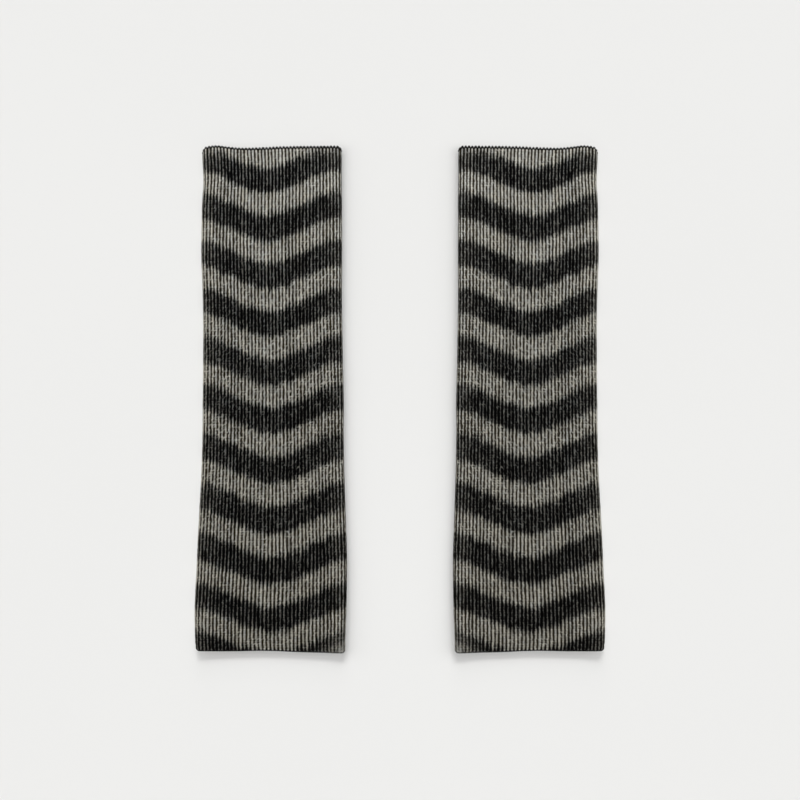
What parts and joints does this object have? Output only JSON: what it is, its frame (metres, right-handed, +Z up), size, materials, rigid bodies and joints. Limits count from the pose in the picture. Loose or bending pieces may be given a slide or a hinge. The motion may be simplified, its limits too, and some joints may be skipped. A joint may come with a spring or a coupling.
{
  "type": "pair of leg warmers",
  "caption": "Pair of rib-knit leg warmers, each a straight tube of cloth laid flat, slightly wider at the hem, open at both ends, lying side by side as mirror images.",
  "frame": {"origin": "on the surface that the pair lies on, midway between the two leg warmers and halfway along them", "axes": "+X across, from the left one to the right one, +Y along them, from the hems to the top edges, +Z up from the surface"},
  "size_m": [0.3406, 0.42, 0.0083],
  "materials": {
    "rib_knit": "matt",
    "chain_yarn": "matt",
    "hem_yarn": "matt"
  },
  "bodies": {
    "root": {"left_tube": "rib_knit", "left_top_edge": "chain_yarn", "left_hem_edge": "hem_yarn", "right_tube": "rib_knit", "right_top_edge": "chain_yarn", "right_hem_edge": "hem_yarn"}
  },
  "joints": []
}
